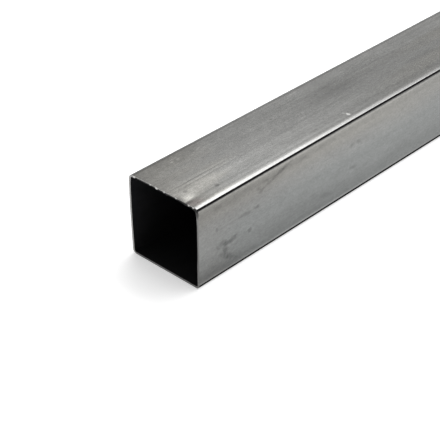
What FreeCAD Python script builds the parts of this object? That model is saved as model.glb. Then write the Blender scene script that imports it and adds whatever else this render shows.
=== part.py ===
import FreeCAD, Part
from enum import IntEnum
import math
import os
import Sketcher

# A length of square steel tube, cold rolled from strip and welded along its top wall.
# The tube lies along X on its bottom wall. The origin is under its middle, on the ground.
# The outside corners are rolled round, the bore follows them one wall inside, and the
# weld leaves a low bead along the bore. Both ends are cut square and left open.

DRIVING_SIZES = (
    ("tube_length", 1000.0, "from one cut end to the other"),
    ("side_width", 50.0, "outside, from flat to flat, both ways"),
    ("wall_thickness", 1.2, "gauge of the strip"),
    ("inside_bend_radius", 1.2, "inside of each rolled corner"),
    ("bead_width", 2.4, "weld bead in the bore, across the seam"),
    ("bead_height", 0.5, "weld bead in the bore, from the wall to its crest"),
    ("seam_offset", 2.5, "from the middle of the top wall to the seam, towards -Y"),
)

OUTSIDE_RADIUS = "dims.inside_bend_radius + dims.wall_thickness"
BORE_WIDTH = "dims.side_width - 2 * dims.wall_thickness"
BEAD_ROUNDING = "(dims.bead_width ^ 2 / 4 + dims.bead_height ^ 2) / (2 * dims.bead_height)"
CORNERS = ("base_right", "top_right", "top_left", "base_left")


class Spot(IntEnum):
    """Which point of a curve a sketch constraint takes."""

    START = 1
    END = 2
    CENTRE = 3


class Axis(IntEnum):
    """The sketch's own axes, as its constraints number them."""

    HORIZONTAL = -1
    VERTICAL = -2


def make_sheet(doc):
    """Writes the driving sizes into a spreadsheet, one alias for each."""
    sheet = doc.addObject("Spreadsheet::Sheet", "dims")
    for row, (alias, value, meaning) in enumerate(DRIVING_SIZES, start=1):
        sheet.set(f"A{row}", alias)
        sheet.set(f"B{row}", str(value))
        sheet.set(f"C{row}", meaning)
        sheet.setAlias(f"B{row}", alias)
    doc.recompute()
    return sheet


def point(x, y):
    """A point of a sketch."""
    return FreeCAD.Vector(x, y, 0)


def line(x0, y0, x1, y1):
    """A straight line of a sketch."""
    return Part.LineSegment(point(x0, y0), point(x1, y1))


def corner_arc(x, y, radius, quarter):
    """A quarter circle, counted from the +x direction in steps of 90 degrees."""
    circle = Part.Circle(point(x, y), FreeCAD.Vector(0, 0, 1), radius)
    return Part.ArcOfCircle(circle, quarter * math.pi / 2, (quarter + 1) * math.pi / 2)


def rounded_square(width, base, radius):
    """The lines and corner arcs of a square that stands on y = base, in order round it."""
    half = width / 2
    flat = half - radius
    low, high = base + radius, base + width - radius
    return {
        "base": line(-flat, base, flat, base),
        "base_right": corner_arc(flat, low, radius, 3),
        "right": line(half, low, half, high),
        "top_right": corner_arc(flat, high, radius, 0),
        "top": line(flat, base + width, -flat, base + width),
        "top_left": corner_arc(-flat, high, radius, 1),
        "left": line(-half, high, -half, low),
        "base_left": corner_arc(-flat, low, radius, 2),
    }


class Section:
    """A closed loop of named curves in a sketch across the tube: its x is Y and its y is Z."""

    def __init__(self, body, name, curves):
        self.sketch = body.newObject("Sketcher::SketchObject", name)
        across = next(plane for plane in body.Origin.OriginFeatures if plane.Role == "YZ_Plane")
        self.sketch.AttachmentSupport = [(across, "")]
        self.sketch.MapMode = "FlatFace"
        self.number = {curve: self.sketch.addGeometry(shape) for curve, shape in curves.items()}

    def hold(self, kind, *places):
        """Adds a constraint on curves, given by name, and on their points."""
        numbers = [self.number.get(place, place) for place in places]
        return self.sketch.addConstraint(Sketcher.Constraint(kind, *numbers))

    def size(self, kind, *places, label, formula):
        """Adds a dimension, whose last place is its value, and ties it to the driving sizes."""
        self.sketch.renameConstraint(self.hold(kind, *places), label)
        self.sketch.setExpression(f"Constraints.{label}", formula)

    def round_off(self, *loop):
        """Joins each corner arc to the lines on both sides of it, and makes the arcs equal."""
        for curve, following in zip(loop, loop[1:] + loop[:1]):
            if curve in CORNERS or following in CORNERS:
                self.hold("Tangent", curve, Spot.END, following, Spot.START)
        for corner in CORNERS[1:]:
            self.hold("Equal", CORNERS[0], corner)

    def stand_upright(self, top):
        """Levels the loop and centres it on the sketch's vertical axis, which levels the base."""
        self.hold("Horizontal", top)
        self.hold("Vertical", "right")
        self.hold("Vertical", "left")
        self.hold("Symmetric", "base", Spot.START, "base", Spot.END, Axis.VERTICAL)


def draw_outside(body, size):
    """The outside of the section: a square with four equal rolled corners."""
    width = size["side_width"]
    radius = size["inside_bend_radius"] + size["wall_thickness"]
    curves = rounded_square(width, 0, radius)
    section = Section(body, "outside_section", curves)
    section.round_off(*curves)
    section.stand_upright("top")
    section.hold("PointOnObject", "base", Spot.START, Axis.HORIZONTAL)
    section.size("DistanceX", "left", Spot.START, "right", Spot.END, width,
                 label="outside_width", formula="dims.side_width")
    section.size("DistanceY", "base", Spot.START, "top", Spot.END, width,
                 label="outside_height", formula="dims.side_width")
    section.size("Radius", "base_right", radius, label="outside_radius", formula=OUTSIDE_RADIUS)
    return section.sketch


def draw_bore(body, size):
    """The bore: one wall inside the outside section, with the weld bead standing into it."""
    wall = size["wall_thickness"]
    width = size["side_width"] - 2 * wall
    radius = size["inside_bend_radius"]
    ceiling = wall + width
    seam = -size["seam_offset"]
    half_bead = size["bead_width"] / 2
    crest = size["bead_height"]
    bead_radius = (half_bead ** 2 + crest ** 2) / (2 * crest)
    curves = rounded_square(width, wall, radius)
    top = curves.pop("top")
    curves["top_before"] = line(top.StartPoint.x, ceiling, seam + half_bead, ceiling)
    curves["bead"] = Part.Arc(
        point(seam - half_bead, ceiling),
        point(seam, ceiling - crest),
        point(seam + half_bead, ceiling),
    )
    curves["top_after"] = line(seam - half_bead, ceiling, top.EndPoint.x, ceiling)
    section = Section(body, "bore_section", curves)
    section.round_off("top_after", "top_left", "left", "base_left", "base", "base_right",
                      "right", "top_right", "top_before")
    section.hold("Coincident", "top_before", Spot.END, "bead", Spot.END)
    section.hold("Coincident", "bead", Spot.START, "top_after", Spot.START)
    section.hold("Horizontal", "bead", Spot.START, "bead", Spot.END)
    section.hold("Horizontal", "top_after")
    section.stand_upright("top_before")
    section.size("DistanceY", Axis.HORIZONTAL, Spot.START, "base", Spot.START, wall,
                 label="floor_thickness", formula="dims.wall_thickness")
    section.size("DistanceX", "left", Spot.START, "right", Spot.END, width,
                 label="bore_width", formula=BORE_WIDTH)
    section.size("DistanceY", "base", Spot.START, "top_before", Spot.START, width,
                 label="bore_height", formula=BORE_WIDTH)
    section.size("Radius", "base_right", radius,
                 label="bore_radius", formula="dims.inside_bend_radius")
    section.size("DistanceX", "bead", Spot.CENTRE, Axis.HORIZONTAL, Spot.START, -seam,
                 label="seam_place", formula="dims.seam_offset")
    section.size("DistanceX", "bead", Spot.START, "bead", Spot.END, 2 * half_bead,
                 label="bead_width", formula="dims.bead_width")
    section.size("Radius", "bead", bead_radius, label="bead_rounding", formula=BEAD_ROUNDING)
    return section.sketch


def make_tube(doc, size):
    """The one piece: the outside section run along X, with the bore cut through it."""
    body = doc.addObject("PartDesign::Body", "square_tube")
    rolled = body.newObject("PartDesign::Pad", "rolled_section")
    rolled.Profile = draw_outside(body, size)
    rolled.SideType = "Symmetric"
    rolled.setExpression("Length", "dims.tube_length")
    doc.recompute()
    bore = body.newObject("PartDesign::Pocket", "bore")
    bore.Profile = draw_bore(body, size)
    bore.SideType = "Symmetric"
    bore.Type = "ThroughAll"
    doc.recompute()
    return body


def check(doc, pieces):
    """Stops if any object failed, or if a piece isn't a sound closed solid."""
    failed = [item.Name for item in doc.Objects if {"Invalid", "Error"} & set(item.State)]
    if failed:
        raise RuntimeError(f"these objects failed to build: {failed}")
    for piece in pieces:
        shape = piece.Shape
        if shape.isNull() or not shape.isValid() or len(shape.Solids) != 1:
            raise RuntimeError(f"{piece.Label} isn't one sound solid")


def main():
    """Builds the tube and writes it as a STEP file."""
    doc = FreeCAD.newDocument("square_tube_stock")
    sheet = make_sheet(doc)
    size = {alias: float(sheet.get(alias)) for alias, _, _ in DRIVING_SIZES}
    pieces = [make_tube(doc, size)]
    check(doc, pieces)
    os.makedirs("parts", exist_ok=True)
    for piece in pieces:
        piece.Shape.exportStep(f"parts/{piece.Label}.step")
        print(f"{piece.Label}: {piece.Shape.Volume:.1f} mm3, {len(piece.Shape.Faces)} faces")


main()
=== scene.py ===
"""A length of bare square steel tube on its CAD frame: rolled skin, dark bore and sawn ends."""

import logging
import math
import operator
from dataclasses import dataclass, field
from enum import Enum
from functools import reduce
from typing import Iterable, Mapping, Sequence, Union

import bpy
import numpy as np
from mathutils import Matrix, Vector, noise


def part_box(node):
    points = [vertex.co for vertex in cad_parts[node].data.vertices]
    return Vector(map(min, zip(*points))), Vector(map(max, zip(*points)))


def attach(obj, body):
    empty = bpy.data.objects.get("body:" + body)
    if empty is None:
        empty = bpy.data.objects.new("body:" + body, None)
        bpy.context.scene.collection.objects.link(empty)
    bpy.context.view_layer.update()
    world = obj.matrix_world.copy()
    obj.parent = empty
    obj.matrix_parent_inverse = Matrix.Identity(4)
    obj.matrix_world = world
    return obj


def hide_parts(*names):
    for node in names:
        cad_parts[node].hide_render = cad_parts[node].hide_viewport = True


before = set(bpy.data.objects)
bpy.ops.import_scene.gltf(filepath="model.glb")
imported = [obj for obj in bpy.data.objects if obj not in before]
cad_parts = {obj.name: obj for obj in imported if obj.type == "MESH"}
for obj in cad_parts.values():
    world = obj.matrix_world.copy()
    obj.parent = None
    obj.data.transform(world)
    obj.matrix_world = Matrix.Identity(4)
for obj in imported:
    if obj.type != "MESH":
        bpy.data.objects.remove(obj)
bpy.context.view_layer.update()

LOG = logging.getLogger("square_tube")
BODY = "root"
MM = 0.001
TINY = 1e-9
SEED_STEP = 7.31
MARK_EDGE = 1.35
MARK_CORE = 0.35

Number = Union[float, "Field"]
Colour = tuple[float, float, float]
Span = tuple[float, float]


@dataclass(frozen=True)
class Field:
    """A number that varies over a surface: one output socket, with Python's operators for its maths."""

    graph: "Graph"
    socket: bpy.types.NodeSocket

    def __add__(self, other: Number) -> "Field":
        """Sum."""
        return self.graph.maths("ADD", self, other)

    def __sub__(self, other: Number) -> "Field":
        """Difference."""
        return self.graph.maths("SUBTRACT", self, other)

    def __mul__(self, other: Number) -> "Field":
        """Product."""
        return self.graph.maths("MULTIPLY", self, other)

    def __truediv__(self, other: Number) -> "Field":
        """Quotient."""
        return self.graph.maths("DIVIDE", self, other)

    def __rsub__(self, other: Number) -> "Field":
        """Difference with the plain number first."""
        return self.graph.maths("SUBTRACT", other, self)

    def __rtruediv__(self, other: Number) -> "Field":
        """Quotient with the plain number first."""
        return self.graph.maths("DIVIDE", other, self)

    __radd__ = __add__
    __rmul__ = __mul__

    def __abs__(self) -> "Field":
        """Size without its sign."""
        return self.graph.maths("ABSOLUTE", self)

    def lower(self, other: Number) -> "Field":
        """The smaller of the two."""
        return self.graph.maths("MINIMUM", self, other)

    def upper(self, other: Number) -> "Field":
        """The larger of the two."""
        return self.graph.maths("MAXIMUM", self, other)

    def line(self, slope: float, start: Number) -> "Field":
        """A straight line: slope times this, plus start."""
        return self.graph.maths("MULTIPLY_ADD", self, slope, start)

    def root(self) -> "Field":
        """Square root."""
        return self.graph.maths("SQRT", self)

    def clamped(self) -> "Field":
        """Held between 0 and 1."""
        return self.upper(0.0).lower(1.0)

    def rise(self, low: float, high: float) -> "Field":
        """Smooth step.

        Args:
            low: value at which the result is 0.
            high: value at which the result is 1; below low, the step falls instead.

        Returns:
            The step, from 0 to 1.
        """
        node = self.graph.node(
            "ShaderNodeMapRange",
            {"interpolation_type": "SMOOTHSTEP"},
            {"Value": self, "From Min": low, "From Max": high},
        )
        return self.graph.field(node, "Result")

    def band(self, low: float, high: float, soft: float) -> "Field":
        """1 between low and high, falling smoothly to 0 within soft outside them."""
        return self.rise(low - soft, low) * self.rise(high + soft, high)


@dataclass(frozen=True)
class Grain:
    """A noise, by its pitch along x, y and z in millimetres.

    Detail is how many finer layers lie on the first, rough is how strong they are, and the seed
    moves to another part of the noise.
    """

    pitch: tuple[float, float, float]
    detail: float
    rough: float
    seed: float


@dataclass
class Graph:
    """The node tree of one material or world, and the one way to add nodes to it."""

    tree: bpy.types.NodeTree

    def node(
        self,
        kind: str,
        settings: Mapping[str, object] | None = None,
        inputs: Mapping[str | int, object] | None = None,
    ) -> bpy.types.Node:
        """Adds a node.

        Args:
            kind: the node's type.
            settings: its own settings, set first, such as a Math node's operation.
            inputs: values, Fields or sockets for its inputs, by name or number.

        Returns:
            The node.
        """
        made = self.tree.nodes.new(kind)
        for name, value in (settings or {}).items():
            setattr(made, name, value)
        for place, value in (inputs or {}).items():
            target = made.inputs[place]
            if isinstance(value, Field):
                self.tree.links.new(value.socket, target)
            elif isinstance(value, bpy.types.NodeSocket):
                self.tree.links.new(value, target)
            else:
                target.default_value = value
        return made

    def field(self, node: bpy.types.Node, output: str | int = 0) -> Field:
        """One output of a node as a Field."""
        return Field(self, node.outputs[output])

    def maths(self, operation: str, *terms: Number) -> Field:
        """Adds a Math node."""
        return self.field(self.node("ShaderNodeMath", {"operation": operation}, dict(enumerate(terms))))

    def place(self) -> tuple[Field, Field, Field]:
        """Reads where a surface point is.

        Returns:
            Its x, y and z in the tube's own frame, in millimetres.
        """
        coordinate = self.node("ShaderNodeTexCoord")
        split = self.node("ShaderNodeSeparateXYZ", inputs={0: coordinate.outputs["Object"]})
        x, y, z = (self.field(split, axis) for axis in "XYZ")
        return x / MM, y / MM, z / MM

    def vector(self, x: Number, y: Number, z: Number) -> bpy.types.NodeSocket:
        """Three numbers as one vector."""
        return self.node("ShaderNodeCombineXYZ", inputs={"X": x, "Y": y, "Z": z}).outputs[0]

    def grain(self, at: Sequence[Field], kind: Grain) -> Field:
        """Noise with its own pitch along each axis.

        Args:
            at: the point, in millimetres.
            kind: the noise.

        Returns:
            The noise, from 0 to 1 around 0.5.
        """
        shift = kind.seed * SEED_STEP
        where = self.vector(*(place / pitch + shift for place, pitch in zip(at, kind.pitch)))
        node = self.node(
            "ShaderNodeTexNoise",
            {"noise_dimensions": "3D"},
            {"Vector": where, "Scale": 1.0, "Detail": kind.detail, "Roughness": kind.rough},
        )
        return self.field(node, "Fac")

    def tint(self, factor: Number, first: object, second: object) -> bpy.types.NodeSocket:
        """Mixes two colours.

        Args:
            factor: 0 for the first and 1 for the second.
            first: a plain colour or a colour socket.
            second: another.

        Returns:
            The mixed colour.
        """
        node = self.node(
            "ShaderNodeMix",
            {"data_type": "RGBA"},
            {"Factor": factor, 6: self._colour(first), 7: self._colour(second)},
        )
        return node.outputs[2]

    @staticmethod
    def _colour(value: object) -> object:
        """A plain colour with its alpha, or the socket as it is."""
        return value if isinstance(value, bpy.types.NodeSocket) else (*value, 1.0)

    def lit(self, colour: object, gain: Field) -> bpy.types.NodeSocket:
        """Makes a colour lighter or darker.

        Args:
            colour: a plain colour or a colour socket.
            gain: the factor, which varies over the surface.

        Returns:
            The colour times the factor.
        """
        inputs = {0: colour, "Scale": gain}
        return self.node("ShaderNodeVectorMath", {"operation": "SCALE"}, inputs).outputs[0]

    def bump(self, height: Field, depth: float) -> bpy.types.NodeSocket:
        """A bumped normal.

        Args:
            height: relief, where 1 is one depth high.
            depth: in metres.

        Returns:
            The normal.
        """
        inputs = {"Strength": 1.0, "Distance": depth, "Height": height}
        return self.node("ShaderNodeBump", inputs=inputs).outputs[0]


def new_material(name: str) -> tuple[bpy.types.Material, Graph]:
    """Makes a material with an empty node tree.

    Args:
        name: the material's name.

    Returns:
        The material and its graph.
    """
    material = bpy.data.materials.new(name)
    material.use_nodes = True
    material.node_tree.nodes.clear()
    return material, Graph(material.node_tree)


class Wall(Enum):
    """The four walls, as the strip runs round from the weld seam."""

    TOP_FRONT = "top wall, from the seam to the front corner"
    FRONT = "wall that faces -Y"
    BASE = "bottom wall"
    BACK = "wall that faces +Y"
    TOP_BACK = "top wall, from the back corner to the seam"


class Part(Enum):
    """Which finish a face of the tube takes."""

    SKIN = 0
    BORE = 1
    CUT = 2


@dataclass(frozen=True)
class SectionPoint:
    """One point of the tube's outside section, in millimetres, with its outward normal."""

    y: float
    z: float
    normal_y: float
    normal_z: float
    wall: Wall

    @property
    def corner(self) -> float:
        """How far round a corner the point is: 0 on a flat, 1 at 45 degrees."""
        return 2.0 * abs(self.normal_y * self.normal_z)


@dataclass(frozen=True)
class Dent:
    """A knock in the top wall beside the front corner, at the near cut end."""

    across: float = -15.9
    half_width: float = 1.9
    half_length: float = 7.5
    depth: float = 0.42

    def depth_at(self, from_end: float, y: float) -> float:
        """How far the top wall is pushed in.

        Args:
            from_end: distance from the near end.
            y: place across the tube.

        Returns:
            The depth.
        """
        along = math.exp(-((from_end / self.half_length) ** 2))
        aside = math.exp(-(((y - self.across) / self.half_width) ** 2))
        return self.depth * along * aside


@dataclass(frozen=True)
class Groove:
    """A shallow hollow along the top wall, deepest at the near end, where the dent ends it."""

    across: float = -13.6
    half_width: float = 3.8
    depth: float = 0.02
    extra_at_end: float = 0.14
    fade: float = 28.0

    def depth_at(self, from_end: float, y: float) -> float:
        """How far the wall lies below its true face."""
        along = self.depth + self.extra_at_end * math.exp(-from_end / self.fade)
        return along * math.exp(-(((y - self.across) / self.half_width) ** 2))


@dataclass(frozen=True)
class Scarf:
    """The weld seam outside, shaved flush: a flat just under a hundredth of a millimetre deep."""

    across: float = -2.7
    half_width: float = 2.4
    depth: float = 0.008
    edge: float = 0.8

    def depth_at(self, y: float) -> float:
        """How far the shaving cuts below the wall."""
        beyond = abs(y - self.across) - self.half_width
        return self.depth * min(1.0, max(0.0, 0.5 - beyond / self.edge))


@dataclass(frozen=True)
class Bead:
    """The weld bead along the bore, under the seam."""

    across: float = -2.5
    width: float = 2.4
    height: float = 0.5

    def height_at(self, y: float) -> float:
        """How far the bead stands into the bore.

        Args:
            y: place across the tube.

        Returns:
            The height, 0 beside the bead.
        """
        half = self.width / 2
        beyond = abs(y - self.across)
        if beyond >= half:
            return 0.0
        radius = (half**2 + self.height**2) / (2 * self.height)
        return math.sqrt(radius**2 - beyond**2) - (radius - self.height)


@dataclass(frozen=True)
class Sag:
    """The back wall draws in towards its bottom edge, most of all at the near end."""

    upright_at: float = 33.0
    depth: float = 0.35
    fade: float = 60.0

    def depth_at(self, from_end: float, z: float) -> float:
        """How far the wall lies inside its true face."""
        share = min(1.0, ((z - self.upright_at) / self.upright_at) ** 2)
        return self.depth * share * math.exp(-from_end / self.fade)


@dataclass(frozen=True)
class Fold:
    """Metal that the knock folded into the bore, in the front top corner of the near end."""

    length: float = 2.5
    reach: float = 4.2
    depth: float = 1.1

    def depth_at(self, from_end: float, from_corner: float) -> float:
        """How far the metal stands into the bore."""
        along = math.exp(-((from_end / self.length) ** 2))
        return self.depth * along * math.exp(-((from_corner / self.reach) ** 2))


@dataclass(frozen=True)
class SawCut:
    """How far the saw cut lies inside the tube's full length, measured round the section.

    The angles run from the middle of the back wall over the top, and the depths are in millimetres.
    Waves are counted to the millimetre, and tooth marks to the metre.
    """

    angles: tuple[float, ...] = (
        0.0, 27.0, 40.0, 46.0, 52.0, 65.0, 90.0, 118.0, 129.0, 180.0, 225.0, 270.0, 300.0, 335.0, 360.0
    )
    depths: tuple[float, ...] = (
        0.03, 0.00, 0.10, 0.55, 0.70, 1.00, 1.00, 1.25, 1.00, 0.98, 0.85, 0.57, 0.42, 0.15, 0.03
    )
    roughness: float = 0.12
    reach: float = 8.0
    waves: float = 0.26
    layers: tuple[float, float, int] = (1.0, 2.0, 3)
    outer_seed: float = 1.0
    inner_seed: float = 2.0
    tooth_marks: float = 900.0
    tooth_depth: float = 0.03
    tooth_seed: float = 4.0

    def depth_at(self, y: float, z: float, middle: float, inner: bool) -> float:
        """How far the cut lies back at a point of the section.

        Args:
            y: place across the tube.
            z: height of the point.
            middle: height of the section's middle.
            inner: whether the point is on the bore's edge.

        Returns:
            The depth, with the saw's unevenness.
        """
        angle = math.degrees(math.atan2(z - middle, y)) % 360.0
        seed = self.inner_seed if inner else self.outer_seed
        uneven = noise.fractal(Vector((y * self.waves, z * self.waves, seed)), *self.layers)
        depth = float(np.interp(angle, self.angles, self.depths))
        return depth + self.roughness * (0.5 + 0.5 * uneven)

    def tooth_at(self, y: float, z: float, outward: float) -> float:
        """How deep a tooth bit at a point of the cut face.

        Args:
            y: place across the tube, in metres.
            z: height of the point, in metres.
            outward: -1 at the near end and 1 at the far end.

        Returns:
            The depth, in millimetres.
        """
        place = Vector((y * self.tooth_marks, z * self.tooth_marks, outward * self.tooth_seed))
        return self.tooth_depth + self.tooth_depth * noise.noise(place)


@dataclass(frozen=True)
class Burr:
    """A sliver of metal that the saw left on the bore's edge, by its middle, in millimetres."""

    y: float
    z: float
    half_length: float
    reach: float

    def reach_at(self, y: float, z: float) -> float:
        """How far the sliver stands out beyond the cut at a point of the edge."""
        apart = math.hypot(y - self.y, z - self.z)
        return self.reach * math.exp(-((apart / self.half_length) ** 2))


BURRS = (
    Burr(21.4, 49.7, 1.3, 0.06),
    Burr(9.6, 49.7, 0.7, 0.06),
    Burr(5.0, 49.7, 1.3, 0.06),
    Burr(-0.6, 49.7, 0.8, 0.06),
    Burr(-9.0, 49.7, 0.8, 0.06),
    Burr(-18.2, 49.5, 0.8, 0.12),
    Burr(-21.4, 49.6, 0.9, 0.06),
)


@dataclass
class TubeWall:
    """The rolled tube itself, in millimetres: its section, run from one cut end to the other.

    Each of the end steps is how far from a cut end it is used, and the step. The last step along a
    flat may be longer than the others, by a factor of at most longest_last_step.
    """

    low_x: float
    high_x: float
    width: float
    wall: float = 1.2
    bend_radius: float = 1.2
    flat_step: float = 1.6
    seam_step: float = 0.3
    seam_reach: float = 3.4
    lead_step: float = 0.45
    lead_reach: float = 5.0
    longest_last_step: float = 1.4
    corner_steps: int = 10
    end_steps: tuple[Span, ...] = ((3.0, 0.3), (12.0, 0.9), (40.0, 2.8))
    skin_step: float = 5.0
    bore_step: float = 24.0
    cut_rings: int = 5
    waviness: float = 0.06
    wave_length: float = 95.0
    wave_width: float = 21.0
    corner_stiffness: float = 0.6
    lead_length: float = 2.6
    lead_depth: float = 0.20
    dent: Dent = field(default_factory=Dent)
    groove: Groove = field(default_factory=Groove)
    scarf: Scarf = field(default_factory=Scarf)
    bead: Bead = field(default_factory=Bead)
    sag: Sag = field(default_factory=Sag)
    fold: Fold = field(default_factory=Fold)
    saw_cut: SawCut = field(default_factory=SawCut)
    burrs: tuple[Burr, ...] = BURRS

    @property
    def outside_radius(self) -> float:
        """Radius of the rolled corners outside."""
        return self.bend_radius + self.wall

    @property
    def flat(self) -> float:
        """From the middle of a wall to where its corner starts."""
        return self.width / 2 - self.outside_radius

    def section(self) -> list[SectionPoint]:
        """Lays points round the outside section.

        Returns:
            The points, from the seam towards the front corner and round to the seam again.
        """
        half, flat = self.width / 2, self.flat
        seam = self.scarf.across
        by_seam = (seam, self.seam_reach, self.seam_step)
        by_corner = (-flat, self.lead_reach, self.lead_step)
        top_front = self._spaced(seam, -flat, by_seam, by_corner)
        top_back = self._spaced(flat, seam, by_seam)
        level = self._spaced(-flat, flat)
        turns = [
            (math.pi / 2, -flat, half + flat, Wall.FRONT),
            (math.pi, -flat, half - flat, Wall.BASE),
            (3 * math.pi / 2, flat, half - flat, Wall.BACK),
            (2 * math.pi, flat, half + flat, Wall.TOP_BACK),
        ]
        points = [SectionPoint(y, self.width, 0.0, 1.0, Wall.TOP_FRONT) for y in top_front]
        points += self._turn(*turns[0])
        points += [SectionPoint(-half, half - v, -1.0, 0.0, Wall.FRONT) for v in level]
        points += self._turn(*turns[1])
        points += [SectionPoint(v, 0.0, 0.0, -1.0, Wall.BASE) for v in level]
        points += self._turn(*turns[2])
        points += [SectionPoint(half, half + v, 1.0, 0.0, Wall.BACK) for v in level]
        points += self._turn(*turns[3])
        points += [SectionPoint(y, self.width, 0.0, 1.0, Wall.TOP_BACK) for y in top_back[:-1]]
        return points

    def _spaced(self, start: float, end: float, *fine: tuple[float, float, float]) -> list[float]:
        """Places from start to end along a flat.

        Args:
            start: the first place.
            end: the last place.
            fine: stretches that need smaller steps, each by its middle, its reach and its step.

        Returns:
            The places, both ends included.
        """
        places = [start]
        way = math.copysign(1.0, end - start)
        while (end - places[-1]) * way > TINY:
            steps = [step for middle, reach, step in fine if abs(places[-1] - middle) < reach]
            step = min(steps, default=self.flat_step)
            last = abs(end - places[-1]) < self.longest_last_step * step
            places.append(end if last else places[-1] + way * step)
        return places

    def _turn(self, start: float, y: float, z: float, wall: Wall) -> list[SectionPoint]:
        """Lays points between the two ends of a corner's arc.

        Args:
            start: the angle it starts from, in radians.
            y: place of the arc's centre across the tube.
            z: height of the centre.
            wall: the wall that the points belong to.

        Returns:
            The points, without the ends.
        """
        radius = self.outside_radius
        points = []
        for step in range(1, self.corner_steps):
            angle = start + step / self.corner_steps * math.pi / 2
            normal = (math.cos(angle), math.sin(angle))
            points.append(
                SectionPoint(y + radius * normal[0], z + radius * normal[1], *normal, wall)
            )
        return points

    def stations(self, coarse: float) -> list[float]:
        """Places along the tube, close together at both cut ends.

        Args:
            coarse: the step away from the ends.

        Returns:
            The places, as x in millimetres.
        """
        length = self.high_x - self.low_x
        from_end = [0.0]
        for reach, step in self.end_steps:
            count = round((reach - from_end[-1]) / step)
            first = from_end[-1]
            from_end += [first + (reach - first) * (n + 1) / count for n in range(count)]
        middle_start, middle_end = from_end[-1], length - from_end[-1]
        count = round((middle_end - middle_start) / coarse)
        middle = [middle_start + (middle_end - middle_start) * n / count for n in range(1, count)]
        far = [length - d for d in reversed(from_end)]
        return [self.low_x + d for d in from_end + middle + far]

    def set_in(self, x: float, point: SectionPoint) -> float:
        """How far the outside lies inside its true section, in millimetres.

        Args:
            x: place along the tube.
            point: place round it.

        Returns:
            The depth, never below 0, so that the tube stays inside its stated size.
        """
        from_near = x - self.low_x
        place = Vector((x / self.wave_length, point.y / self.wave_width, point.z / self.wave_width))
        wave = self.waviness * (0.5 + 0.5 * noise.noise(place))
        depth = wave * (1.0 - self.corner_stiffness * point.corner)
        depth += self._lead_in(point)
        if point.wall in (Wall.TOP_FRONT, Wall.TOP_BACK):
            depth += self.groove.depth_at(from_near, point.y)
            depth += self.dent.depth_at(from_near, point.y)
            depth += self.scarf.depth_at(point.y)
        if point.wall is Wall.BACK:
            depth += self.sag.depth_at(from_near, point.z)
        return depth

    def _lead_in(self, point: SectionPoint) -> float:
        """How the top wall falls away just before its front corner, and less and less round it.

        Args:
            point: place round the section.

        Returns:
            The depth, 0 on the other walls.
        """
        if point.wall is Wall.TOP_FRONT:
            share = (-point.y - self.flat + self.lead_length) / self.lead_length
            return self.lead_depth * min(1.0, max(0.0, share)) ** 2
        if point.wall is Wall.FRONT:
            return self.lead_depth * max(0.0, point.normal_z) ** 2
        return 0.0

    def grid(
        self, stations: Sequence[float], points: Sequence[SectionPoint], inside: bool
    ) -> np.ndarray:
        """The skin or the bore as a grid of points.

        Args:
            stations: places along the tube.
            points: the outside section.
            inside: whether the grid is the bore, one wall inside the skin.

        Returns:
            The points in metres, by station and by place round the section.
        """
        rows = np.zeros((len(stations), len(points), 3))
        for row, x in enumerate(stations):
            for column, point in enumerate(points):
                inward = self.set_in(x, point)
                if inside:
                    inward += self.wall + self._extra_inside(x, point)
                rows[row, column] = (
                    x,
                    point.y - inward * point.normal_y,
                    point.z - inward * point.normal_z,
                )
        return rows * MM

    def _extra_inside(self, x: float, point: SectionPoint) -> float:
        """What stands into the bore: the weld bead, and metal folded in at the knocked corner.

        Args:
            x: place along the tube.
            point: place round it.

        Returns:
            How far it stands in.
        """
        extra = 0.0
        if point.wall in (Wall.TOP_FRONT, Wall.TOP_BACK):
            extra += self.bead.height_at(point.y) - self.scarf.depth_at(point.y)
        if point.wall in (Wall.TOP_FRONT, Wall.FRONT) and point.z > self.width / 2:
            from_corner = math.hypot(point.y + self.width / 2, point.z - self.width)
            extra += self.fold.depth_at(x - self.low_x, from_corner)
        return extra

    def cut_face(self, outer: np.ndarray, inner: np.ndarray, outward: float) -> np.ndarray:
        """The rings between the skin's edge and the bore's edge, sawn a little uneven.

        Args:
            outer: the skin's last row of points, in metres.
            inner: the bore's last row of points, in metres.
            outward: -1 at the near end and 1 at the far end.

        Returns:
            The rings between them, without the two edges.
        """
        rings = []
        for ring in range(1, self.cut_rings):
            share = ring / self.cut_rings
            row = outer * (1 - share) + inner * share
            for column, spot in enumerate(row):
                tooth = self.saw_cut.tooth_at(spot[1], spot[2], outward)
                row[column, 0] = spot[0] - outward * tooth * MM
            rings.append(row)
        return np.array(rings)

    def saw_off(self, grid: np.ndarray, outward: float, inner: bool) -> None:
        """Draws the last stretch of the skin or the bore back to the saw's uneven cut.

        Args:
            grid: the points in metres, by station and by place round the section.
            outward: -1 at the near end and 1 at the far end.
            inner: whether the grid is the bore, on whose near edge the burrs stand out.
        """
        end = 0 if outward < 0 else -1
        beyond = np.abs(grid[:, 0, 0] - grid[end, 0, 0])
        share = np.clip(1.0 - beyond / (self.saw_cut.reach * MM), 0.0, 1.0)
        for column, spot in enumerate(grid[end].copy()):
            y, z = spot[1] / MM, spot[2] / MM
            back = self.saw_cut.depth_at(y, z, self.width / 2, inner)
            if inner and outward < 0:
                back -= sum(burr.reach_at(y, z) for burr in self.burrs)
            grid[:, column, 0] -= outward * max(0.0, back) * MM * share

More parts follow.
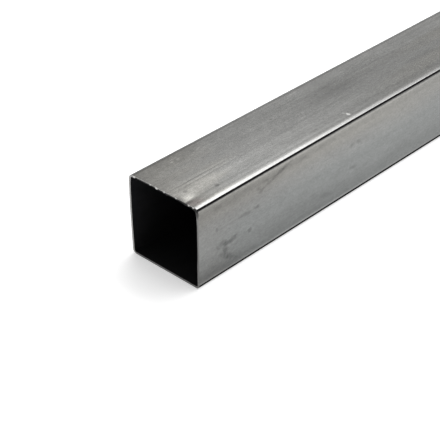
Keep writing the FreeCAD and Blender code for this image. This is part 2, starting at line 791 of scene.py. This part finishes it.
    def build(self, name: str) -> bpy.types.Object:
        """Makes the tube as one closed mesh with three finishes.

        Args:
            name: the piece's name.

        Returns:
            The piece, linked to the scene.
        """
        points = self.section()
        skin = self.grid(self.stations(self.skin_step), points, inside=False)
        bore = self.grid(self.stations(self.bore_step), points, inside=True)
        for outward in (-1.0, 1.0):
            self.saw_off(skin, outward, inner=False)
            self.saw_off(bore, outward, inner=True)
        near = self.cut_face(skin[0], bore[0], -1.0)
        far = self.cut_face(skin[-1], bore[-1], 1.0)
        mesh = TubeMesh(len(points))
        skin_rows = mesh.rows(skin)
        bore_rows = mesh.rows(bore)
        near_rows = [skin_rows[0], *mesh.rows(near), bore_rows[0]]
        far_rows = [skin_rows[-1], *mesh.rows(far), bore_rows[-1]]
        mesh.join(skin_rows, Part.SKIN, flip=False)
        mesh.join(bore_rows, Part.BORE, flip=True)
        mesh.join(near_rows, Part.CUT, flip=True)
        mesh.join(far_rows, Part.CUT, flip=False)
        return mesh.finish(name)


@dataclass
class TubeMesh:
    """Rings of points joined by quads."""

    count: int
    points: list[tuple[float, float, float]] = field(default_factory=list)
    faces: list[tuple[int, int, int, int]] = field(default_factory=list)
    parts: list[Part] = field(default_factory=list)

    def rows(self, grid: np.ndarray) -> list[int]:
        """Adds rows of points.

        Args:
            grid: the points in metres, by row and by place round the section.

        Returns:
            The number of the first point in each row.
        """
        firsts = []
        for row in grid:
            firsts.append(len(self.points))
            self.points += [tuple(spot) for spot in row]
        return firsts

    def join(self, firsts: Sequence[int], part: Part, flip: bool) -> None:
        """Joins each row to the next.

        Args:
            firsts: the rows, by their first point.
            part: the finish of the faces.
            flip: whether the faces look the other way.
        """
        for here, there in zip(firsts, firsts[1:]):
            for column in range(self.count):
                after = (column + 1) % self.count
                quad = (here + column, here + after, there + after, there + column)
                self.faces.append(quad if flip else quad[::-1])
                self.parts.append(part)

    def finish(self, name: str) -> bpy.types.Object:
        """Makes the mesh object, smooth but for the sawn faces.

        Args:
            name: the object's name.

        Returns:
            The object, linked to the scene.
        """
        mesh = bpy.data.meshes.new(name)
        mesh.from_pydata(self.points, [], self.faces)
        mesh.polygons.foreach_set("material_index", [part.value for part in self.parts])
        mesh.polygons.foreach_set("use_smooth", [part is not Part.CUT for part in self.parts])
        mesh.update()
        piece = bpy.data.objects.new(name, mesh)
        bpy.context.scene.collection.objects.link(piece)
        return piece


@dataclass(frozen=True)
class Mark:
    """A soft-edged stain, scuff or scratch, or a patch of painted shade, sheen or highlight, on one
    wall, by its middle and half sizes in millimetres.

    A depth above 0 darkens and one below 0 lightens. The turn is in degrees. The mark is full up to
    MARK_CORE of its half sizes, and has faded out at MARK_EDGE of them.
    """

    from_end: float
    across: float
    length: float
    breadth: float
    depth: float
    turn: float = 0.0

    def cover(self, graph: Graph, from_end: Field, across: Field, ragged: Field) -> Field:
        """Where the mark lies.

        Args:
            graph: the material's graph; not used.
            from_end: distance of a surface point from the near end.
            across: its y on the top wall, or its z on the front wall.
            ragged: noise around 0 that breaks up the mark's edge.

        Returns:
            The mark's depth in its middle, falling to 0 outside it.
        """
        turn = math.radians(self.turn)
        along = self._own(from_end, across, turn, self.length)
        aside = self._own(from_end, across, turn + math.pi / 2, self.breadth)
        reach = (along * along + aside * aside).root() + ragged
        return self.depth * reach.rise(MARK_EDGE, MARK_CORE)

    def _own(self, from_end: Field, across: Field, angle: float, size: float) -> Field:
        """How far a point lies from the mark's middle along one of its axes.

        Args:
            from_end: distance of the point from the near end.
            across: its y or z.
            angle: which way the axis runs, in radians.
            size: the mark's half size along it.

        Returns:
            The distance, in half sizes.
        """
        one, other = math.cos(angle) / size, math.sin(angle) / size
        start = -(self.from_end * one + self.across * other)
        if abs(other) < TINY:
            return from_end.line(one, start)
        if abs(one) < TINY:
            return across.line(other, start)
        return from_end.line(one, across.line(other, start))


TOP_MARKS = (
    Mark(23.5, -2.7, 19.0, 0.5, 0.24),
    Mark(28.0, -5.2, 22.0, 0.5, 0.15),
    Mark(23.5, -1.6, 24.0, 0.9, -0.14),
    Mark(26.0, -4.0, 22.0, 0.8, -0.12),
    Mark(64.0, -2.2, 5.0, 0.7, -0.06),
    Mark(106.0, -2.2, 5.0, 1.0, -0.12),
    Mark(104.0, -4.2, 6.0, 0.6, 0.07),
    Mark(24.0, -16.0, 1.4, 1.2, 0.48),
    Mark(8.6, -8.6, 1.6, 1.0, 0.36),
    Mark(127.3, -18.4, 1.0, 1.6, -1.5, 8.0),
    Mark(126.2, -15.8, 0.8, 1.0, -0.4),
    Mark(101.0, -16.3, 3.0, 1.2, 0.12),
    Mark(42.6, 16.5, 2.8, 0.8, -0.26, 20.0),
    Mark(38.8, 17.2, 1.8, 0.9, 0.12),
    Mark(30.0, 14.2, 6.0, 1.2, 0.10),
    Mark(25.9, 17.0, 1.0, 0.8, 0.14),
    Mark(23.6, 16.8, 1.3, 0.8, -0.22),
    Mark(28.3, 16.8, 1.4, 0.8, -0.22),
    Mark(74.0, 6.5, 3.5, 0.7, -0.08, 25.0),
    Mark(93.0, 9.2, 1.2, 0.9, 0.20),
    Mark(111.2, 1.0, 1.2, 1.0, -0.18),
    Mark(123.0, 4.6, 1.2, 1.0, 0.12),
    Mark(132.5, 9.6, 1.2, 0.9, 0.12),
    Mark(124.0, 19.8, 5.0, 0.7, -0.20),
    Mark(146.0, 6.5, 20.0, 9.0, 0.11),
    # The next seven marks paint light and shade round the knock by the front corner: shade on its far
    # flank and beside the corner highlight, and a highlight on its near flank.
    Mark(2.4, -16.7, 3.4, 1.5, 0.34),
    Mark(6.5, -18.6, 4.5, 1.8, 0.10),
    Mark(5.0, -21.2, 12.0, 1.4, 0.30),
    Mark(7.6, -13.6, 3.4, 2.0, -0.16),
    Mark(0.6, -12.6, 3.2, 4.6, 0.46),
    Mark(1.6, -10.4, 3.4, 3.0, 0.10),
    Mark(1.8, -22.2, 3.0, 1.6, 0.16),
    Mark(2.0, 2.0, 7.0, 24.0, 0.09),
    Mark(0.4, 0.0, 0.7, 40.0, 0.10),
    # From here to the end of the table the marks paint light and shade: a lighter sheen over the front
    # half near the end, lighter and darker lines along the groove, a darker line above the corner
    # highlight, a darker line along the back corner, darker towards the back edge, and the far stretch
    # with its highlight fading darker.
    Mark(13.0, -8.5, 34.0, 7.5, -0.15),
    Mark(34.0, -9.0, 52.0, 7.0, -0.07),
    Mark(50.0, -17.0, 85.0, 2.8, -0.10),
    Mark(50.0, -18.3, 85.0, 1.2, -0.18),
    Mark(60.0, -16.0, 90.0, 0.5, 0.08),
    Mark(40.0, -9.0, 24.0, 7.0, -0.06),
    Mark(135.0, -8.5, 24.0, 4.0, -0.06),
    Mark(75.0, -20.7, 120.0, 0.8, 0.13),
    Mark(150.0, 22.2, 420.0, 0.8, 0.22),
    Mark(115.0, 12.0, 90.0, 13.0, 0.10),
    Mark(0.0, 22.0, 62.0, 8.5, 0.18),
    Mark(0.0, 8.0, 46.0, 9.0, 0.06),
    Mark(175.0, -3.0, 95.0, 17.0, 0.17),
    Mark(175.0, -22.0, 110.0, 8.0, 0.16),
)
FRONT_MARKS = (
    Mark(18.4, 20.5, 3.2, 1.8, 0.24),
    Mark(22.2, 19.3, 3.0, 1.7, 0.28),
    Mark(26.2, 19.5, 3.6, 1.7, 0.32, 6.0),
    Mark(28.6, 21.2, 1.6, 0.9, 0.20, 30.0),
    Mark(15.2, 19.0, 1.8, 0.8, 0.24, -34.0),
    Mark(20.3, 16.6, 1.8, 3.4, 0.24, -4.0),
    Mark(21.0, 12.0, 2.0, 3.0, 0.18, -6.0),
    Mark(18.0, 13.0, 3.2, 1.6, 0.16, -32.0),
    Mark(23.6, 10.0, 2.8, 1.8, 0.20, -32.0),
    Mark(27.4, 7.6, 3.2, 1.0, 0.12, -30.0),
    Mark(35.3, 30.4, 5.2, 1.2, 0.24),
    Mark(38.6, 29.8, 1.6, 0.9, 0.08),
    Mark(24.0, 30.3, 9.0, 0.9, 0.07),
    Mark(43.2, 30.8, 1.2, 0.9, 0.20),
    Mark(45.2, 30.7, 1.5, 1.2, 0.32),
    Mark(14.2, 31.0, 1.0, 1.3, 0.26),
    Mark(39.4, 18.5, 1.7, 1.5, 0.28),
    Mark(15.0, 44.4, 3.4, 1.6, 0.16),
    Mark(47.8, 39.2, 2.4, 1.4, 0.26, 10.0),
    Mark(50.6, 40.4, 1.8, 1.0, 0.16),
    Mark(54.2, 41.4, 2.8, 1.4, 0.24, 8.0),
    Mark(46.2, 41.3, 2.0, 1.3, 0.18),
    Mark(51.5, 43.7, 3.6, 0.9, 0.13),
    Mark(58.6, 42.9, 2.8, 1.5, 0.26, 10.0),
    Mark(62.8, 44.3, 2.8, 1.4, 0.30, 12.0),
    Mark(67.0, 45.6, 2.8, 1.2, 0.28, 16.0),
    Mark(71.2, 47.0, 2.4, 0.9, 0.18, 20.0),
    Mark(82.0, 44.4, 3.4, 1.1, 0.14),
    Mark(95.0, 44.6, 4.5, 1.0, 0.08),
    Mark(107.0, 44.8, 3.0, 1.0, 0.08),
    Mark(123.8, 33.8, 2.4, 1.4, 0.22),
    Mark(129.8, 34.0, 3.0, 1.2, 0.20, -20.0),
    Mark(130.6, 29.0, 1.3, 1.0, 0.13),
    Mark(126.0, 18.4, 3.6, 1.3, 0.20, -8.0),
    Mark(102.5, 11.0, 6.5, 1.4, 0.11, -18.0),
    Mark(92.5, 14.4, 5.0, 1.6, 0.09, -20.0),
    Mark(116.0, 12.5, 5.0, 1.6, 0.08),
    Mark(84.0, 20.0, 5.0, 1.8, 0.06, -24.0),
    # The next nine marks paint light and shade: a darker band below the top corner with a lighter
    # reflected line under it, lighter and darker lines along the bottom corner, darker at the bottom
    # near the end, and lighter low down far along.
    Mark(130.0, 44.6, 150.0, 1.9, 0.06),
    Mark(35.0, 43.9, 75.0, 2.6, 0.08),
    Mark(130.0, 47.9, 160.0, 0.7, -0.24),
    Mark(130.0, 14.0, 34.0, 7.0, -0.07),
    Mark(8.0, 3.0, 34.0, 7.5, 0.21),
    Mark(60.0, 5.6, 80.0, 1.6, 0.07),
    Mark(75.0, 3.1, 140.0, 0.6, -0.26),
    Mark(130.0, 3.2, 90.0, 0.6, -0.24),
    Mark(50.0, 47.5, 34.0, 1.6, -0.06),
    Mark(1.0, 46.6, 0.6, 1.8, 0.50),
    # The last four marks paint shade and light by height and by distance from the near end: darker
    # towards the bottom, darker high up near the end with a lighter middle, and lighter high up far
    # along.
    Mark(0.0, 9.0, 230.0, 9.5, 0.15),
    Mark(0.0, 28.0, 40.0, 10.0, -0.05),
    Mark(0.0, 44.0, 70.0, 26.0, 0.08),
    Mark(130.0, 38.0, 90.0, 14.0, -0.10),
)


@dataclass(frozen=True)
class PaintedDarkLines:
    """Painted dark reflection and shade along the corners, in its own place on each of them.

    A turn is a place round a corner, from 1 on the top or bottom wall to -1 on the side wall. The
    lines drift a little round the corner along the tube.
    """

    drift_rate: float = 0.0012
    drift_most: float = 0.16
    soft: float = 0.06
    front_span: Span = (-0.44, 0.20)
    back_span: Span = (0.0, 0.80)
    back_share: float = 0.55
    below_height: Span = (2.75, 2.35)
    below_turn: Span = (0.9, 0.8)
    below_drift: float = 1.7

    def cover(self, turn: Field, from_end: Field, y: Field, z: Field, above: Field) -> Field:
        """Where the painted dark lines lie.

        Args:
            turn: place round a corner.
            from_end: distance from the near end.
            y: place across the tube.
            z: height.
            above: 1 on the upper half.

        Returns:
            1 on the lines, and 0 elsewhere.
        """
        front = y.rise(0.5, -0.5)
        drift = (from_end * self.drift_rate).lower(self.drift_most)
        # Under the front top corner's highlight: a painted reflection of the dark room.
        front_top = (turn - drift).band(*self.front_span, self.soft) * above * front
        # Along the bottom corners: painted shade of the floor under them.
        below = (z - self.below_drift * drift).rise(*self.below_height) * turn.rise(*self.below_turn)
        # Along the back top corner: a weaker painted dark reflection.
        back_top = self.back_share * turn.band(*self.back_span, self.soft) * above * (1.0 - front)
        return front_top + below + back_top


@dataclass(frozen=True)
class RolledSkin:
    """Bare cold rolled steel outside, with rolling streaks, stain marks and scuffs, corners lighter
    from burnish and a painted highlight, painted dark lines along the corners, and painted shade and
    sheen.

    A gain is how much a grain lightens and darkens the steel. Where it is a pair, the first is what
    the top wall has beyond the second. A Span is where something is 0 and where it is full: heights
    and places in millimetres, and turns round a corner from 1 on top to -1 on the side.
    """

    plain: Colour = (0.2085, 0.2085, 0.2022)
    warm: Colour = (0.2125, 0.2085, 0.1950)
    cool: Colour = (0.2018, 0.2085, 0.2053)
    brown: Colour = (0.221, 0.203, 0.192)
    # Lighter steel for the corners: partly burnish, partly a painted highlight.
    burnish_and_highlight: Colour = (0.335, 0.333, 0.328)
    # Colour of the painted dark reflection and shade lines along the corners.
    line: Colour = (0.014, 0.014, 0.014)
    near_end: float = -500.0
    width: float = 50.0
    radius: float = 2.4
    on_top: Span = (47.8, 48.4)
    on_front: Span = (24.0, 24.6)

    streaks: Grain = Grain((60.0, 1.5, 0.8), 3.0, 0.6, 1.0)
    broad: Grain = Grain((220.0, 4.0, 4.0), 2.0, 0.5, 2.0)
    cloud: Grain = Grain((13.0, 6.0, 6.0), 4.0, 0.65, 3.0)
    patch: Grain = Grain((120.0, 16.0, 16.0), 2.0, 0.5, 4.0)
    brushing: Grain = Grain((1.4, 0.5, 0.5), 3.0, 0.6, 5.0)
    fleck: Grain = Grain((1.5, 0.9, 0.9), 2.0, 0.6, 7.0)
    ragged: Grain = Grain((2.4, 1.4, 1.4), 3.0, 0.6, 11.0)
    crumbled: Grain = Grain((2.0, 1.6, 1.6), 2.0, 0.6, 12.0)
    streak_gain: Span = (0.15, 0.15)
    fleck_gain: Span = (0.09, 0.53)
    broad_gain: float = 0.14
    cloud_gain: float = 0.26
    least_light: float = 0.2
    ragged_reach: float = 0.9
    crumbled_reach: float = 0.8

    # Where the corners are lighter: partly burnished steel, partly a painted highlight.
    rubbed_and_highlight_corner: Span = (0.0, 0.30)
    rubbed_and_highlight_turn: Span = (-0.9, 0.1)
    # A strip of painted highlight on the top wall just before its front corner.
    painted_highlight_lead: Span = (21.7, 22.4)
    painted_highlight_lead_turn: Span = (0.3, 0.6)
    painted_dark_lines: PaintedDarkLines = PaintedDarkLines()

    patch_at: Span = (0.44, 0.62)
    patch_reach: float = 24.0
    unmarked: Span = (130.0, 240.0)
    warm_top: Span = (60.0, 26.0)
    warm_front: Span = (34.0, 43.0)
    cool_front: Span = (38.0, 24.0)
    cool_along: Span = (8.0, 36.0)
    cool_least: float = 0.4
    rust: Mark = Mark(5.0, -19.0, 5.0, 3.2, 1.0)

    roughness: float = 0.25
    cloud_roughness: float = 0.08
    streak_roughness: float = 0.06
    corner_polish: float = 0.05
    dark_line_roughness: float = 0.45
    streak_relief: float = 0.6
    brushing_relief: float = 0.8
    relief: float = 3e-6

    def make(self) -> bpy.types.Material:
        """Builds the material.

        Returns:
            The material.
        """
        material, graph = new_material("rolled_steel_skin")
        at = x, y, z = graph.place()
        from_end = x - self.near_end
        forward = -1.0 * y
        middle = self.width / 2
        flat = middle - self.radius
        across = ((abs(y) - flat) / self.radius).clamped()
        upright = ((abs(z - middle) - flat) / self.radius).clamped()
        corner = (across * upright * 2.0).clamped()
        turn = upright - across
        on_top = z.rise(*self.on_top)
        on_front = forward.rise(*self.on_front)
        streaks = graph.grain(at, self.streaks)
        broad = graph.grain(at, self.broad)
        cloud = graph.grain(at, self.cloud)
        fleck = graph.grain(at, self.fleck)
        gain = 1.0 + on_top.line(*self.streak_gain) * (streaks - 0.5) + self.broad_gain * (broad - 0.5)
        gain = gain + self.cloud_gain * (cloud - 0.5) + on_top.line(*self.fleck_gain) * (fleck - 0.5)
        ragged = self.ragged_reach * (graph.grain(at, self.ragged) - 0.5)
        # Marks: real stains and scuffs, together with painted shade, sheen and highlight.
        stains_and_shading = self._stains_and_shading(graph, TOP_MARKS, from_end, y, ragged) * on_top
        stains_and_shading = stains_and_shading + self._stains_and_shading(graph, FRONT_MARKS, from_end, z, ragged) * on_front
        # Lighter corners: partly burnish, partly a painted highlight; the strip before the front corner
        # is painted highlight only.
        rubbed_and_highlight = corner.rise(*self.rubbed_and_highlight_corner) * turn.rise(*self.rubbed_and_highlight_turn)
        rubbed_and_highlight = rubbed_and_highlight.upper(forward.rise(*self.painted_highlight_lead) * turn.rise(*self.painted_highlight_lead_turn))
        above = z.rise(middle, middle + 1.0)
        painted_dark_lines = self.painted_dark_lines.cover(turn, from_end, y, z, above)
        colour = graph.tint(rubbed_and_highlight, self._hue(graph, at, on_top, on_front), self.burnish_and_highlight)
        colour = graph.lit(colour, gain * (1.0 - stains_and_shading).upper(self.least_light))
        roughness = self.roughness + self.cloud_roughness * (cloud - 0.5)
        roughness = roughness + self.streak_roughness * (streaks - 0.5) - self.corner_polish * corner
        roughness = roughness + self.dark_line_roughness * painted_dark_lines
        height = self.streak_relief * streaks
        height = height + self.brushing_relief * graph.grain(at, self.brushing)
        # On the painted dark lines the steel gives way to a dark, rough, unmetallic colour.
        shader = graph.node(
            "ShaderNodeBsdfPrincipled",
            inputs={
                "Base Color": graph.tint(painted_dark_lines, colour, self.line),
                "Metallic": (1.0 - painted_dark_lines).clamped(),
                "Roughness": roughness.clamped(),
                "Specular IOR Level": 0.0,
                "Normal": graph.bump(height, self.relief),
            },
        )
        graph.node("ShaderNodeOutputMaterial", inputs={"Surface": shader.outputs[0]})
        return material

    def _hue(
        self, graph: Graph, at: Sequence[Field], on_top: Field, on_front: Field
    ) -> bpy.types.NodeSocket:
        """The bare steel's own colour, warmer and cooler by place.

        Args:
            graph: the material's graph.
            at: the point, in millimetres.
            on_top: 1 on the top wall.
            on_front: 1 on the front wall.

        Returns:
            The colour before streaks, stains and marks.
        """
        x, y, z = at
        from_end = x - self.near_end
        patch = graph.grain(at, self.patch).rise(*self.patch_at)
        elsewhere = from_end.rise(*self.unmarked).upper(1.0 - on_top - on_front).clamped()
        warm = on_top * (from_end + self.patch_reach * patch).rise(*self.warm_top)
        warm = warm + on_front * z.rise(*self.warm_front)
        warm = warm * (1.0 - elsewhere) + patch * elsewhere
        along = self.cool_least + (1.0 - self.cool_least) * from_end.rise(*self.cool_along)
        cool = on_front * z.rise(*self.cool_front) * along
        crumbled = self.crumbled_reach * (graph.grain(at, self.crumbled) - 0.5)
        rust = self.rust.cover(graph, from_end, y, crumbled) * on_top
        colour = graph.tint(warm.clamped(), self.plain, self.warm)
        colour = graph.tint(cool.clamped(), colour, self.cool)
        return graph.tint(rust, colour, self.brown)

    @staticmethod
    def _stains_and_shading(
        graph: Graph, marks: Iterable[Mark], from_end: Field, across: Field, ragged: Field
    ) -> Field:
        """Adds up all the marks of one wall.

        Args:
            graph: the material's graph.
            marks: the wall's marks.
            from_end: distance of a surface point from the near end.
            across: its y on the top wall, or its z on the front wall.
            ragged: noise around 0 that breaks up the marks' edges.

        Returns:
            How much they darken the steel.
        """
        covers = [mark.cover(graph, from_end, across, ragged) for mark in marks]
        return reduce(operator.add, covers)


@dataclass(frozen=True)
class PaintedShadeBore:
    """The inside: steel painted near black, as painted shade for the little light that gets into the
    bore, and lighter towards its mouths as painted light from the open ends.
    """

    # Near black: painted shade inside the bore.
    base: Colour = (0.012, 0.012, 0.013)
    cloud: Grain = Grain((30.0, 6.0, 6.0), 3.0, 0.6, 6.0)
    mouth_from: float = 478.0
    mouth_reach: float = 22.0
    mouth_gain: float = 1.1
    least_gain: float = 0.6
    cloud_gain: float = 0.8
    roughness: float = 0.55
    cloud_roughness: float = 0.2
    specular: float = 0.15

    def make(self) -> bpy.types.Material:
        """Builds the material.

        Returns:
            The material.
        """
        material, graph = new_material("bore_painted_shade")
        at = graph.place()
        cloud = graph.grain(at, self.cloud)
        # Lighter towards each mouth: painted light from the open end.
        mouth = (abs(at[0]) - self.mouth_from).rise(0.0, self.mouth_reach)
        gain = (self.least_gain + self.cloud_gain * cloud) * (1.0 + self.mouth_gain * mouth)
        shader = graph.node(
            "ShaderNodeBsdfPrincipled",
            inputs={
                "Base Color": graph.lit(self.base, gain),
                "Metallic": 0.0,
                "Roughness": (self.roughness + self.cloud_roughness * cloud).clamped(),
                "Specular IOR Level": self.specular,
            },
        )
        graph.node("ShaderNodeOutputMaterial", inputs={"Surface": shader.outputs[0]})
        return material


@dataclass(frozen=True)
class DarkPatch:
    """A dark patch on the near cut face, by its soft edges: where each is 0 and where it is full."""

    strength: float
    front: Span
    back: Span
    below: Span
    above: Span

    def cover(self, y: Field, z: Field) -> Field:
        """How strongly it lies at a point of the face."""
        aside = y.rise(*self.front) * y.rise(*self.back)
        return self.strength * aside * z.rise(*self.below) * z.rise(*self.above)


DARK_PATCHES = (
    # Painted shade under the burrs, on the inner part of the top wall's cut face.
    DarkPatch(1.0, (-40.0, -30.0), (22.9, 22.2), (47.2, 47.6), (49.62, 49.42)),
    # A dark strip on the inner part of the front wall's cut face.
    DarkPatch(0.8, (-24.15, -23.95), (-20.0, -21.0), (14.0, 20.0), (44.0, 38.0)),
    # Painted dark reflection: the dark line under the front top corner's highlight, carried down the
    # cut face.
    DarkPatch(0.75, (-40.0, -30.0), (-22.5, -23.0), (42.5, 46.0), (49.2, 48.6)),
)


@dataclass(frozen=True)
class SawnEnd:
    """The cut faces: bright sawn steel above and at the back, with painted shade in front and below.

    The near end also has burrs of bright metal with a painted glint, painted shade under the burrs on
    the top wall's cut face, a dark strip on the front wall's cut face, and the painted dark line of the
    front top corner carried down the face.
    """

    bright: Colour = (0.29, 0.287, 0.282)
    # Painted shade for the front and bottom cut faces.
    shaded_cut: Colour = (0.175, 0.173, 0.17)
    # Bright burr metal, partly a painted glint.
    sliver: Colour = (0.48, 0.475, 0.465)
    dark: Colour = (0.012, 0.012, 0.012)
    cloud: Grain = Grain((2.0, 2.5, 2.5), 3.0, 0.6, 8.0)
    fine: Grain = Grain((0.4, 0.35, 0.35), 2.0, 0.6, 9.0)
    unshaded_above: Span = (47.6, 48.6)
    unshaded_behind: Span = (23.0, 24.0)
    least_gain: float = 0.55
    cloud_gain: float = 0.5
    fine_gain: float = 0.5
    sliver_core: float = 0.5
    roughness: float = 0.45
    relief: float = 3e-5

    def make(self) -> bpy.types.Material:
        """Builds the material.

        Returns:
            The material.
        """
        material, graph = new_material("sawn_end")
        at = x, y, z = graph.place()
        near = x.rise(1.0, -1.0)
        fine = graph.grain(at, self.fine)
        gain = self.least_gain + self.cloud_gain * graph.grain(at, self.cloud) + self.fine_gain * fine
        # Painted shade on the front and bottom cut faces; the top and back stay bright.
        unshaded = z.rise(*self.unshaded_above).upper(y.rise(*self.unshaded_behind))
        dark_patches = reduce(Field.upper, (dark_patch.cover(y, z) for dark_patch in DARK_PATCHES))
        # Burrs at the near end: bright metal, partly a painted glint.
        sliver_glints = reduce(Field.upper, (self._sliver_glint(burr, y, z) for burr in BURRS))
        colour = graph.lit(graph.tint(unshaded, self.shaded_cut, self.bright), gain)
        # Dark patches at the near end: painted shade, a dark strip and a painted dark reflection.
        colour = graph.tint(dark_patches * near, colour, self.dark)
        shader = graph.node(
            "ShaderNodeBsdfPrincipled",
            inputs={
                "Base Color": graph.tint(sliver_glints * near, colour, self.sliver),
                "Metallic": 1.0,
                "Roughness": self.roughness,
                "Normal": graph.bump(fine, self.relief),
            },
        )
        graph.node("ShaderNodeOutputMaterial", inputs={"Surface": shader.outputs[0]})
        return material

    def _sliver_glint(self, burr: Burr, y: Field, z: Field) -> Field:
        """Where a burr shows bright metal with a painted glint.

        Args:
            burr: the burr.
            y: place across the tube.
            z: height.

        Returns:
            1 on the burr, and 0 away from it.
        """
        aside, above = y - burr.y, z - burr.z
        apart = (aside * aside + above * above).root()
        return apart.rise(burr.half_length, self.sliver_core * burr.half_length)


@dataclass
class Studio:
    """Floor, room, lamp and camera: what stands round the tube and isn't part of it.

    Lengths are in metres and angles in degrees, apart from the lens and its sensor in millimetres.
    """

    floor_reach: float = 40.0
    floor_grey: float = 0.92
    lift: float = 0.57
    eye: tuple[float, float, float] = (-0.86471, -0.39226, 0.39646)
    yaw: float = 43.924
    pitch: float = 34.2375
    roll: float = 0.3624
    lens: float = 102.695
    sensor: float = 36.0
    clip: Span = (0.01, 200.0)
    panel_height: float = 3.0
    panel_x: Span = (0.83, 3.24)
    panel_y: Span = (-1.93, 2.77)
    panel_radiance: float = 2.52
    room_way: tuple[float, float, float] = (0.944, -0.035, 0.329)
    room_step: Span = (0.18, 0.354)
    room_least: float = 0.02
    room_gain: float = 1.46

    def floor(self) -> None:
        """Lays a pale floor that keeps shadows and reads as white."""
        reach = self.floor_reach
        mesh = bpy.data.meshes.new("studio_floor")
        corners = [(-reach, -reach, 0), (reach, -reach, 0), (reach, reach, 0), (-reach, reach, 0)]
        mesh.from_pydata(corners, [], [(0, 1, 2, 3)])
        floor = bpy.data.objects.new("studio_floor", mesh)
        bpy.context.scene.collection.objects.link(floor)
        material, graph = new_material("studio_paper")
        seen = self._seen(graph)
        grey = (self.floor_grey,) * 3 + (1.0,)
        paper = graph.node("ShaderNodeBsdfDiffuse", inputs={"Color": grey})
        glow = graph.node("ShaderNodeEmission", inputs={"Strength": seen * self.lift})
        both = graph.node("ShaderNodeAddShader", inputs={0: paper.outputs[0], 1: glow.outputs[0]})
        graph.node("ShaderNodeOutputMaterial", inputs={"Surface": both.outputs[0]})
        mesh.materials.append(material)

    @staticmethod
    def _seen(graph: Graph) -> Field:
        """Tells which rays show the background.

        Args:
            graph: the graph of the floor or the room.

        Returns:
            1 for rays from the camera, off gloss or through glass, and 0 for the others.
        """
        path = graph.node("ShaderNodeLightPath")
        rays = ("Is Camera Ray", "Is Glossy Ray", "Is Transmission Ray")
        camera, glossy, through = (graph.field(path, ray) for ray in rays)
        return camera.upper(glossy).upper(through)

    def world(self) -> None:
        """Makes a soft room that is light beyond the tube's far end and dark before its near end."""
        world = bpy.data.worlds.new("studio_room")
        world.use_nodes = True
        world.node_tree.nodes.clear()
        bpy.context.scene.world = world
        graph = Graph(world.node_tree)
        seen = self._seen(graph)
        way = graph.node("ShaderNodeTexCoord")
        split = graph.node("ShaderNodeSeparateXYZ", inputs={0: way.outputs["Generated"]})
        shares = (share * graph.field(split, axis) for share, axis in zip(self.room_way, "XYZ"))
        beyond = reduce(operator.add, shares)
        room = self.room_least + self.room_gain * beyond.rise(*self.room_step)
        strength = seen + (1.0 - seen) * room
        glow = graph.node("ShaderNodeBackground", inputs={"Strength": strength})
        graph.node("ShaderNodeOutputWorld", inputs={"Surface": glow.outputs[0]})

    def panel(self) -> None:
        """Hangs the one lamp, a wide soft panel that lies level above the floor beyond the far end."""
        lamp = bpy.data.lights.new("soft_panel", "AREA")
        lamp.shape = "RECTANGLE"
        lamp.size, lamp.size_y = (high - low for low, high in (self.panel_x, self.panel_y))
        lamp.energy = self.panel_radiance * math.pi * lamp.size * lamp.size_y
        holder = bpy.data.objects.new("soft_panel", lamp)
        middle = [(low + high) / 2 for low, high in (self.panel_x, self.panel_y)]
        holder.location = (*middle, self.panel_height)
        holder.visible_camera = False
        bpy.context.scene.collection.objects.link(holder)

    def camera(self) -> None:
        """Sets the camera where the photo's edges put it."""
        yaw, pitch, roll = (math.radians(a) for a in (self.yaw, self.pitch, self.roll))
        ahead = Vector(
            (math.cos(yaw) * math.cos(pitch), math.sin(yaw) * math.cos(pitch), -math.sin(pitch))
        )
        right = Vector((math.sin(yaw), -math.cos(yaw), 0.0))
        down = ahead.cross(right)
        right_rolled = right * math.cos(roll) + down * math.sin(roll)
        down_rolled = down * math.cos(roll) - right * math.sin(roll)
        turn = Matrix((right_rolled, -down_rolled, -ahead)).transposed()
        data = bpy.data.cameras.new("studio_camera")
        data.sensor_width = self.sensor
        data.lens = self.lens
        data.clip_start, data.clip_end = self.clip
        holder = bpy.data.objects.new("studio_camera", data)
        holder.matrix_world = Matrix.Translation(Vector(self.eye)) @ turn.to_4x4()
        bpy.context.scene.collection.objects.link(holder)
        bpy.context.scene.camera = holder

    def set_up(self) -> None:
        """Builds the whole studio."""
        self.camera()
        self.floor()
        self.world()
        self.panel()
        bpy.context.scene.view_settings.view_transform = "Standard"


def dress(piece: bpy.types.Object, finishes: Iterable[bpy.types.Material]) -> None:
    """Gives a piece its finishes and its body.

    Args:
        piece: the piece.
        finishes: its materials, in the order of Part.
    """
    for material in finishes:
        piece.data.materials.append(material)
    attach(piece, BODY)


def main() -> None:
    """Builds the tube, its finishes and the studio."""
    logging.basicConfig(level=logging.INFO, format="%(name)s: %(message)s")
    low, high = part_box("square_tube")
    tube = TubeWall(low_x=low.x / MM, high_x=high.x / MM, width=(high.z - low.z) / MM)
    piece = tube.build("rolled_tube")
    dress(piece, (RolledSkin().make(), PaintedShadeBore().make(), SawnEnd().make()))
    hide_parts("square_tube")
    LOG.info("rolled_tube: %d faces", len(piece.data.polygons))
    Studio().set_up()
    LOG.info("studio: camera, floor, room and panel")


if __name__ == "__main__":
    main()
